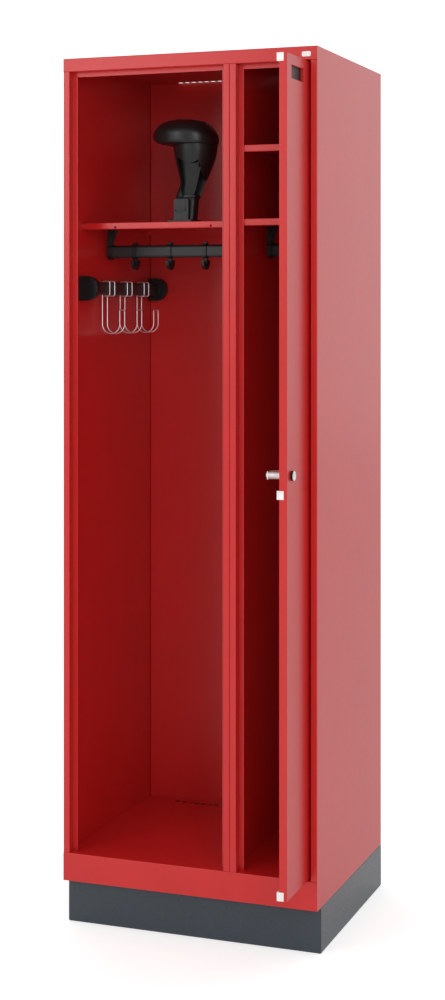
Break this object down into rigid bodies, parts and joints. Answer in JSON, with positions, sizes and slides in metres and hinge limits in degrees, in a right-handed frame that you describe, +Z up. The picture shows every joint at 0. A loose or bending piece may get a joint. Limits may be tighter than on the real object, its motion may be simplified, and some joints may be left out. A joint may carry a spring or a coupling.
{
  "type": "wardrobe locker",
  "caption": "Sheet-steel wardrobe locker on a plinth: open hanging bay with helmet holder and sliding hooks, beside a narrow compartment behind a lockable hinged door.",
  "frame": {"origin": "on the floor, at the centre of the footprint of the locker with its door open at a right angle", "axes": "+Z up; +X to the right of someone who faces the open front; +Y towards the rear"},
  "size_m": [0.6, 0.6452, 1.95],
  "materials": {
    "red_paint": "satin powder coat",
    "grey_paint": "satin powder coat",
    "black_plastic": "finely textured",
    "black_coating": "matt powder coat on steel tube",
    "white_plastic": "satin",
    "chrome": "bright",
    "zinc": "zinc plated, satin"
  },
  "bodies": {
    "carcass": {"left_side_panel": "red_paint", "right_side_panel": "red_paint", "top_panel": "red_paint", "floor_panel": "red_paint", "back_panel": "red_paint", "partition_left_skin": "red_paint", "partition_right_skin": "red_paint", "hat_shelf": "red_paint", "small_shelf_upper": "red_paint", "small_shelf_lower": "red_paint", "plinth_front": "grey_paint", "plinth_left": "grey_paint", "plinth_right": "grey_paint", "plinth_rear": "grey_paint", "badge": "white_plastic", "left_rail": "black_coating", "left_rail_bracket_left": "black_plastic", "left_rail_bracket_right": "black_plastic", "right_rail": "black_coating", "right_rail_bracket_left": "black_plastic", "right_rail_bracket_right": "black_plastic", "side_bar": "black_coating", "side_bar_bracket_front": "black_plastic", "side_bar_bracket_rear": "black_plastic", "helmet_holder_base": "black_plastic", "helmet_holder_stem": "black_plastic", "helmet_holder_head": "black_plastic", "helmet_holder_pin_1": "black_plastic", "helmet_holder_pin_2": "black_plastic", "helmet_holder_screw_1": "black_plastic", "helmet_holder_screw_2": "black_plastic", "helmet_holder_screw_3": "black_plastic", "helmet_holder_screw_4": "black_plastic", "hinge_plate_top": "zinc", "hinge_plate_bottom": "zinc", "hinge_pin_top": "zinc", "hinge_pin_bottom": "zinc"},
    "door": {"door_outer_shell": "red_paint", "door_inner_panel": "red_paint", "label_holder": "black_plastic", "door_bumper_top": "white_plastic", "door_bumper_middle": "white_plastic", "door_bumper_bottom": "white_plastic", "door_bush_top": "black_plastic", "door_bush_bottom": "black_plastic", "lock_rosette": "black_plastic", "lock_barrel": "zinc", "lock_nut": "zinc"},
    "lock": {"lock_core": "chrome", "lock_cam": "zinc", "cam_screw": "zinc"},
    "rail_hook_1": {"rail_hook_1": "black_plastic"},
    "rail_hook_2": {"rail_hook_2": "black_plastic"},
    "rail_hook_3": {"rail_hook_3": "black_plastic"},
    "wire_hook_1": {"wire_hook_1": "chrome"},
    "wire_hook_2": {"wire_hook_2": "chrome"},
    "wire_hook_3": {"wire_hook_3": "chrome"}
  },
  "joints": [
    {"name": "door_hinge", "type": "hinge", "parent": "carcass", "child": "door", "pos_m": [0.271, -0.16735, 1.0415], "axis": [0, 0, 1], "range_deg": [-90, 12]},
    {"name": "lock_turn", "type": "hinge", "parent": "door", "child": "lock", "pos_m": [0.281, -0.29035, 1.041], "axis": [1, 0, 0], "range_deg": [0, 180]},
    {"name": "rail_hook_1_slide", "type": "slide", "parent": "carcass", "child": "rail_hook_1", "axis": [1, 0, 0], "range_m": [-0.05, 0.035]},
    {"name": "rail_hook_2_slide", "type": "slide", "parent": "carcass", "child": "rail_hook_2", "axis": [1, 0, 0], "range_m": [-0.035, 0.035]},
    {"name": "rail_hook_3_slide", "type": "slide", "parent": "carcass", "child": "rail_hook_3", "axis": [1, 0, 0], "range_m": [-0.035, 0.1]},
    {"name": "wire_hook_1_slide", "type": "slide", "parent": "carcass", "child": "wire_hook_1", "axis": [0, 1, 0], "range_m": [-0.08, 0.035]},
    {"name": "wire_hook_2_slide", "type": "slide", "parent": "carcass", "child": "wire_hook_2", "axis": [0, 1, 0], "range_m": [-0.035, 0.035]},
    {"name": "wire_hook_3_slide", "type": "slide", "parent": "carcass", "child": "wire_hook_3", "axis": [0, 1, 0], "range_m": [-0.035, 0.05]}
  ]
}
